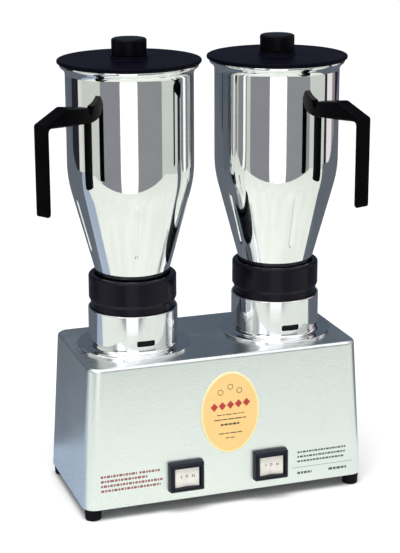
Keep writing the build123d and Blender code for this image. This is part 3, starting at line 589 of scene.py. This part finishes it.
# ---- Stage -------------------------------------------------------------------------------------
FLOOR_SIZE = 12.0
PLAIN_LIGHT, CEILING_LIGHT = 0.42, 1.3
DAYLIGHT, DAYLIGHT_SPREAD, DAYLIGHT_TILT = 3.0, math.radians(40), math.radians(16)
# A white ceiling panel that leans to the front, and the soft edge where it starts.
CEILING_DIRECTION, CEILING_EDGE = (0, -0.45, 0.893), (0.62, 0.74)
# Patches of floor that only polished surfaces see: left, right, near and far edges in metres from the
# origin, square to the camera's line.
FRONT_FLOOR = (-1.3, 1.3, -0.62, 0.08)
REAR_FLOOR = (-1.6, 1.6, 0.08, 2.2)
SIDE_FLOOR = (-1.6, -0.12, -0.12, 0.08)
# Studio surroundings as seen in the polish: the azimuth where each band starts, from the front
# towards +X, and its colour.
SURROUNDINGS = (
    (-180, (0.10, 0.125, 0.16)),
    (-143, (0.02, 0.02, 0.025)),
    (-121, (0.75, 0.75, 0.74)),
    (-112, (0.62, 0.66, 0.60)),
    (-71, (0.27, 0.27, 0.30)),
    (-35, (1.3, 1.3, 1.3)),
    (-3, (0.28, 0.29, 0.30)),
    (42, (0.62, 0.66, 0.62)),
    (77, (0.03, 0.02, 0.03)),
    (84, (0.85, 0.80, 0.82)),
    (100, (0.30, 0.26, 0.28)),
    (112, (0.02, 0.015, 0.03)),
    (126, (0.10, 0.125, 0.16)),
)


def linked(tree, kind, **sources):
    """A new node with its inputs linked or set, each given by name, or by number as _0, _1 or _2."""
    node = tree.nodes.new(kind)
    for key, source in sources.items():
        target = node.inputs[int(key[1:]) if key[0] == "_" else key.replace("_", " ")]
        if isinstance(source, bpy.types.NodeSocket):
            tree.links.new(source, target)
        else:
            target.default_value = source
    return node


def band_colour(tree, direction):
    """The colour of the band that a direction points at."""
    axes = linked(tree, "ShaderNodeSeparateXYZ", _0=direction)
    backwards = linked(tree, "ShaderNodeMath", _0=axes.outputs[1], _1=-1)
    backwards.operation = "MULTIPLY"
    azimuth = linked(tree, "ShaderNodeMath", _0=axes.outputs[0], _1=backwards.outputs[0])
    azimuth.operation = "ARCTAN2"
    share = linked(tree, "ShaderNodeMapRange", Value=azimuth.outputs[0], From_Min=-math.pi, From_Max=math.pi)
    ramp = linked(tree, "ShaderNodeValToRGB", Fac=share.outputs["Result"])
    ramp.color_ramp.interpolation = "CONSTANT"
    elements = ramp.color_ramp.elements
    elements.remove(elements[1])
    for index, (angle, colour) in enumerate(SURROUNDINGS):
        place = (angle + 180) / 360
        element = elements[0] if index == 0 else elements.new(place)
        element.position = place
        element.color = (*colour, 1)
    return ramp.outputs["Color"]


def add_world():
    """An even light to the camera and matt surfaces; banded panels and a ceiling to polished ones."""
    world = bpy.data.worlds.new("studio")
    bpy.context.scene.world = world
    world.use_nodes = True
    tree = world.node_tree
    tree.nodes.clear()
    direction = tree.nodes.new("ShaderNodeTexCoord").outputs["Generated"]
    white = (1, 1, 1, 1)
    panels = linked(tree, "ShaderNodeBackground", Color=band_colour(tree, direction))
    ceiling = linked(tree, "ShaderNodeBackground", Color=white, Strength=CEILING_LIGHT)
    plain = linked(tree, "ShaderNodeBackground", Color=white, Strength=PLAIN_LIGHT)
    above = linked(tree, "ShaderNodeVectorMath", _0=direction, _1=CEILING_DIRECTION)
    above.operation = "DOT_PRODUCT"
    start, stop = CEILING_EDGE
    edge = linked(tree, "ShaderNodeMapRange", Value=above.outputs["Value"], From_Min=start, From_Max=stop)
    room = linked(tree, "ShaderNodeMixShader", _0=edge.outputs["Result"], _1=panels.outputs[0],
                  _2=ceiling.outputs[0])
    glossy = tree.nodes.new("ShaderNodeLightPath").outputs["Is Glossy Ray"]
    choose = linked(tree, "ShaderNodeMixShader", _0=glossy, _1=plain.outputs[0], _2=room.outputs[0])
    linked(tree, "ShaderNodeOutputWorld", Surface=choose.outputs[0])


def stage_piece(name, mesh, material):
    piece = bpy.data.objects.new(name, mesh)
    bpy.context.scene.collection.objects.link(piece)
    mesh.materials.append(material)
    return piece


def plain_surface(name, colour):
    """A matt, almost even surface."""
    build = Build(name)
    cloud = build.noise(build.place, 3, 2)
    build.colour(build.blend(build.spread(cloud, 0, 1), colour, tuple(0.99 * c for c in colour)))
    set_inputs(build.shader, {"Roughness": 0.9})
    return build.material


def painted_falloff_surface(name, colour, painted_falloff_share):
    """A matt surface with a painted falloff of light: it darkens away from the object as painted shade, and
    in faint clouds of random tone, to a share of its colour.
    """
    build = Build(name)
    reach = build.add("ShaderNodeVectorMath")
    reach.operation = "LENGTH"
    build.link(build.place, reach.inputs[0])
    # Painted shade: the colour darkens with distance from the object, a painted falloff of light round it.
    far = build.spread(reach.outputs["Value"], 0, 1, 0.12, 0.7)
    cloud = build.spread(build.noise(build.scaled(9, 9, 9), 1.0, 1), 0, 0.35, 0.4, 0.6)
    build.colour(build.blend(build.maths("ADD", far, cloud), colour, tuple(painted_falloff_share * c for c in colour)))
    set_inputs(build.shader, {"Roughness": 0.9})
    return build.material


def patch(name, bounds, height, material):
    """A level rectangle of floor, laid square to the camera's line."""
    left, right, near, far = bounds
    sine, cosine = math.sin(CAMERA_YAW), math.cos(CAMERA_YAW)
    corners = [(across * cosine + away * sine, away * cosine - across * sine, height)
               for across, away in ((left, near), (right, near), (right, far), (left, far))]
    mesh = bpy.data.meshes.new(name)
    mesh.from_pydata(corners, [], [(0, 1, 2, 3)])
    return stage_piece(name, mesh, material)


def add_stage():
    half = FLOOR_SIZE / 2
    floor = patch("floor", (-half, half, -half, half), 0, plain_surface("floor_white", (0.80, 0.80, 0.80)))
    floor.visible_glossy = False
    # Each patch's last number is the share of its colour that the painted falloff of light leaves far from
    # the object.
    for name, bounds, height, colour, painted_falloff_share in (
        ("front_floor", FRONT_FLOOR, 0.0002, (0.68, 0.71, 0.66), 0.84),
        ("rear_floor", REAR_FLOOR, 0.0002, (0.12, 0.14, 0.17), 0.6),
        ("side_floor", SIDE_FLOOR, 0.0004, (0.31, 0.37, 0.47), 0.8),
    ):
        seen = patch(name, bounds, height, painted_falloff_surface(f"{name}_tone", colour, painted_falloff_share))
        seen.visible_camera = False
        seen.visible_diffuse = False
        seen.visible_shadow = False


def add_panel_light(name, size, place, target, power):
    """A rectangular light at a place, turned towards its target and out of the camera's sight."""
    data = bpy.data.lights.new(name, "AREA")
    data.shape = "RECTANGLE"
    data.size, data.size_y = size
    data.energy = power
    light = bpy.data.objects.new(name, data)
    bpy.context.scene.collection.objects.link(light)
    light.location = place
    light.rotation_euler = (Vector(target) - Vector(place)).to_track_quat("-Z", "Y").to_euler()
    light.visible_camera = False


def add_lights():
    lamp = bpy.data.lights.new("daylight", "SUN")
    lamp.energy, lamp.angle = DAYLIGHT, DAYLIGHT_SPREAD
    daylight = bpy.data.objects.new("daylight", lamp)
    bpy.context.scene.collection.objects.link(daylight)
    daylight.rotation_euler = (DAYLIGHT_TILT, 0, -CAMERA_YAW)
    daylight.visible_glossy = False
    add_panel_light("overhead", (1.6, 1.6), (-0.3, 0.2, 1.9), (0, 0, 0.1), 8)
    add_panel_light("key", (0.7, 1.4), (-1.5, -1.3, 1.3), (0, 0, 0.25), 6)


add_camera()
dress_nodes()
add_vessels()
add_badge()
add_prints()
add_rocker_marks()
add_world()
add_stage()
add_lights()
bpy.context.scene.view_settings.view_transform = "Standard"
